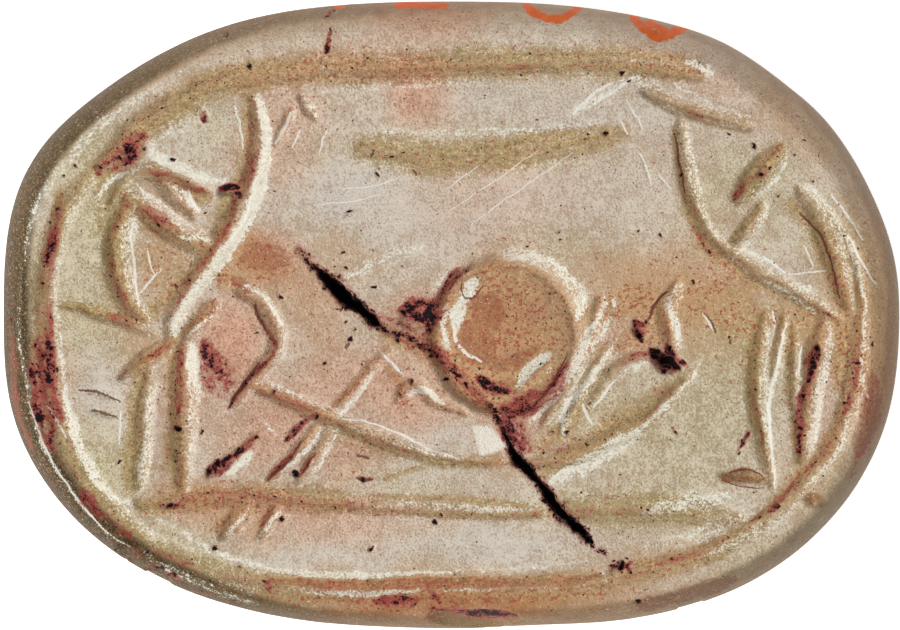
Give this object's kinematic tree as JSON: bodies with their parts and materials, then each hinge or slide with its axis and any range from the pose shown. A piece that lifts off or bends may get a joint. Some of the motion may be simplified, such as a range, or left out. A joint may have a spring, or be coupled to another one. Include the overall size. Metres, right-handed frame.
{
  "type": "seal stone",
  "caption": "Oval stamp seal of pale stone with a flat engraved face, rounded shoulders, a plain domed back and a lengthwise string hole.",
  "frame": {"origin": "middle of the small flat spot on the domed back, which the stone lies on", "axes": "+X along the stone's length, towards the right-hand figure; +Y along its width, towards the bar above the figures; +Z out of the engraved face"},
  "size_m": [0.02, 0.014, 0.008],
  "materials": {
    "stone": "matte, pale and stained, with cream worn edges and tan cuts"
  },
  "bodies": {
    "root": {"seal_stone": "stone"}
  },
  "joints": []
}
